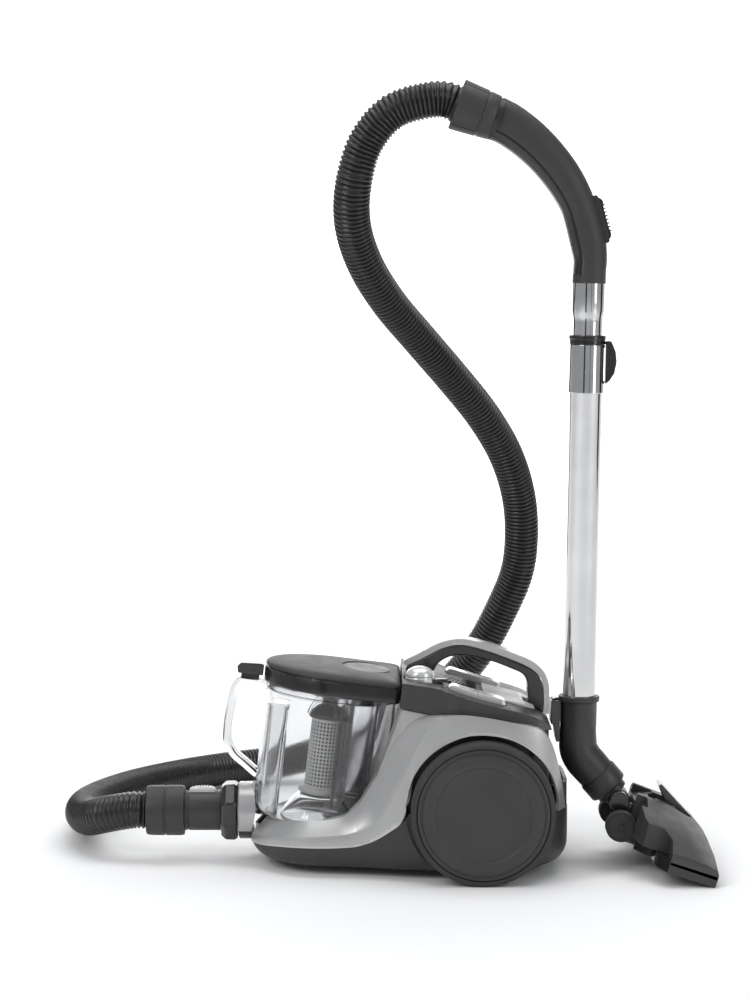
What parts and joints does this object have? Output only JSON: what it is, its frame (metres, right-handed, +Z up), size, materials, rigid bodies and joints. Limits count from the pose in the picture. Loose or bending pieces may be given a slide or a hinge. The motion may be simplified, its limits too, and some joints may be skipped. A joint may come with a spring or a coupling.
{
  "type": "canister vacuum cleaner",
  "caption": "Bagless canister vacuum cleaner parked upright, with a clear dust bin, corrugated hose, telescopic wand and floor head.",
  "frame": {"origin": "bottom centre of the rigid parts' box, on the floor", "axes": "+Z up along the wand, -X out of the canister's hose inlet, +X towards the floor head, Y across the wheels"},
  "size_m": [0.7032, 0.6063, 0.8341],
  "materials": {
    "charcoal_shell": "satin charcoal moulding",
    "silver_shell": "satin metallic silver moulding",
    "grey_shell": "light grey moulding",
    "black_plastic": "black moulding",
    "clear_plastic": "clear polycarbonate",
    "smoke_plastic": "smoke grey translucent moulding",
    "chrome_tube": "polished tube",
    "motor_steel": "plain steel",
    "motor_alloy": "turned",
    "soft_rubber": "matt",
    "tyre_rubber": "matt",
    "hose_rubber": "satin corrugated",
    "filter_foam": "pleated",
    "brush_bristle": "bristle"
  },
  "bodies": {
    "root": {"base_tray": "charcoal_shell", "side_cover_left": "silver_shell", "side_cover_right": "silver_shell", "bin_cradle": "grey_shell", "top_panel": "charcoal_shell", "deck_cover": "grey_shell", "handle_strap": "silver_shell", "handle_core": "black_plastic", "parking_bracket": "black_plastic", "motor_housing": "motor_steel", "motor_mount_ring": "soft_rubber", "motor_filter": "filter_foam", "exhaust_filter": "filter_foam", "power_switch": "black_plastic", "exhaust_grille": "black_plastic", "cord_gland": "soft_rubber", "axle_left": "motor_steel", "axle_right": "motor_steel", "inlet_neck": "silver_shell", "inlet_collar": "black_plastic", "hose_connector": "charcoal_shell", "hose_lower": "hose_rubber"},
    "wheel_left": {"wheel_left": "charcoal_shell", "tyre_left": "tyre_rubber"},
    "wheel_right": {"wheel_right": "charcoal_shell", "tyre_right": "tyre_rubber"},
    "caster_fork": {"caster_fork": "black_plastic"},
    "caster_wheel": {"caster_wheel": "tyre_rubber"},
    "bin": {"dust_bin": "clear_plastic"},
    "bin_button": {"bin_button": "black_plastic"},
    "lid": {"bin_lid": "charcoal_shell", "cyclone_shroud": "grey_shell", "shroud_cap": "black_plastic", "cyclone_skirt": "smoke_plastic", "cyclone_tube_left": "smoke_plastic", "cyclone_tube_right": "smoke_plastic"},
    "power_pedal": {"power_pedal": "silver_shell"},
    "rewind_pedal": {"rewind_pedal": "silver_shell"},
    "bin_lock_button": {"bin_lock_button": "silver_shell"},
    "motor_rotor": {"motor_fan": "motor_alloy"},
    "cord_reel": {"cord_reel": "black_plastic"},
    "connector_tab": {"connector_tab": "grey_shell"},
    "inlet_sleeve": {"inlet_sleeve": "charcoal_shell"},
    "wand": {"wand_tube": "chrome_tube", "wand_sleeve": "charcoal_shell", "wand_neck": "black_plastic"},
    "telescope_button": {"telescope_button": "black_plastic"},
    "handle": {"inner_tube": "chrome_tube", "grip": "charcoal_shell", "hose_upper": "hose_rubber"},
    "grip_slider": {"grip_slider": "grey_shell"},
    "grip_sleeve": {"grip_sleeve": "charcoal_shell"},
    "neck_swivel": {"neck_swivel": "black_plastic"},
    "head": {"head_base": "charcoal_shell", "head_cover": "charcoal_shell", "hinge_pin": "motor_steel"},
    "head_pedal": {"head_pedal": "charcoal_shell"},
    "brush_strip": {"brush_strip": "brush_bristle"},
    "head_wheel_left": {"head_wheel_left": "tyre_rubber"},
    "head_wheel_right": {"head_wheel_right": "tyre_rubber"}
  },
  "joints": [
    {"name": "wheel_left_spin", "type": "hinge", "parent": "root", "child": "wheel_left", "pos_m": [0.052, -0.12, 0.075], "axis": [0, 1, 0], "continuous": true},
    {"name": "wheel_right_spin", "type": "hinge", "parent": "root", "child": "wheel_right", "pos_m": [0.052, 0.12, 0.075], "axis": [0, 1, 0], "continuous": true},
    {"name": "caster_turn", "type": "hinge", "parent": "root", "child": "caster_fork", "pos_m": [-0.1447, 0, 0.028], "axis": [0, 0, 1], "continuous": true},
    {"name": "caster_roll", "type": "hinge", "parent": "caster_fork", "child": "caster_wheel", "pos_m": [-0.1377, 0, 0.012], "axis": [0, 1, 0], "continuous": true},
    {"name": "bin_lift", "type": "slide", "parent": "root", "child": "bin", "axis": [0, 0, 1], "range_m": [0, 0.15]},
    {"name": "lid_lift", "type": "slide", "parent": "bin", "child": "lid", "axis": [0.1219, 0, 0.9925], "range_m": [0, 0.15]},
    {"name": "bin_button_press", "type": "slide", "parent": "bin", "child": "bin_button", "axis": [-0.1219, 0, -0.9925], "range_m": [0, 0.002], "stiffness_N_per_m": 300},
    {"name": "power_pedal_press", "type": "slide", "parent": "root", "child": "power_pedal", "axis": [0, 0, -1], "range_m": [0, 0.003], "stiffness_N_per_m": 600},
    {"name": "rewind_pedal_press", "type": "slide", "parent": "root", "child": "rewind_pedal", "axis": [0, 0, -1], "range_m": [0, 0.003], "stiffness_N_per_m": 600},
    {"name": "bin_lock_press", "type": "slide", "parent": "root", "child": "bin_lock_button", "axis": [0, 0, -1], "range_m": [0, 0.003], "stiffness_N_per_m": 600},
    {"name": "motor_spin", "type": "hinge", "parent": "root", "child": "motor_rotor", "pos_m": [0.0433, 0, 0.096], "axis": [0, 1, 0], "continuous": true},
    {"name": "reel_spin", "type": "hinge", "parent": "root", "child": "cord_reel", "pos_m": [0.0473, 0.059, 0.092], "axis": [0, 1, 0], "continuous": true},
    {"name": "connector_tab_press", "type": "slide", "parent": "root", "child": "connector_tab", "axis": [0, 0, -1], "range_m": [0, 0.002], "stiffness_N_per_m": 300},
    {"name": "inlet_sleeve_turn", "type": "hinge", "parent": "root", "child": "inlet_sleeve", "pos_m": [-0.2857, 0, 0.055], "axis": [1, 0, 0], "continuous": true},
    {"name": "wand_unpark", "type": "slide", "parent": "root", "child": "wand", "axis": [0.0175, 0, 0.9998], "range_m": [0, 0.06]},
    {"name": "tube_extend", "type": "slide", "parent": "wand", "child": "handle", "axis": [0.0175, 0, 0.9998], "range_m": [0, 0.3]},
    {"name": "telescope_press", "type": "slide", "parent": "wand", "child": "telescope_button", "axis": [-0.0175, 0, -0.9998], "range_m": [0, 0.005], "stiffness_N_per_m": 300},
    {"name": "suction_slide", "type": "slide", "parent": "handle", "child": "grip_slider", "axis": [-0.2656, 0, 0.9641], "range_m": [0, 0.01]},
    {"name": "grip_sleeve_turn", "type": "hinge", "parent": "handle", "child": "grip_sleeve", "pos_m": [0.047, 0, 0.8016], "axis": [-0.9397, 0, 0.342], "continuous": true},
    {"name": "neck_turn", "type": "hinge", "parent": "wand", "child": "neck_swivel", "pos_m": [0.1771, 0, 0.096], "axis": [0.6561, 0, -0.7547], "range_deg": [-25, 25]},
    {"name": "head_tilt", "type": "hinge", "parent": "neck_swivel", "child": "head", "pos_m": [0.20085, 0, 0.0687], "axis": [0, 1, 0], "range_deg": [-45, 8]},
    {"name": "head_pedal_rock", "type": "hinge", "parent": "head", "child": "head_pedal", "pos_m": [0.25948, 0, 0.06048], "axis": [0, -1, 0], "range_deg": [0, 8]},
    {"name": "brush_drop", "type": "slide", "parent": "head", "child": "brush_strip", "axis": [-0.309, 0, -0.9511], "range_m": [0, 0.004]},
    {"name": "head_wheel_left_spin", "type": "hinge", "parent": "head", "child": "head_wheel_left", "pos_m": [0.20086, -0.045, 0.04672], "axis": [0, 1, 0], "continuous": true},
    {"name": "head_wheel_right_spin", "type": "hinge", "parent": "head", "child": "head_wheel_right", "pos_m": [0.20086, 0.045, 0.04672], "axis": [0, 1, 0], "continuous": true}
  ],
  "couplings": [
    {"joint": "brush_drop", "follows": "head_pedal_rock", "m_per_rad": 0.0286}
  ]
}
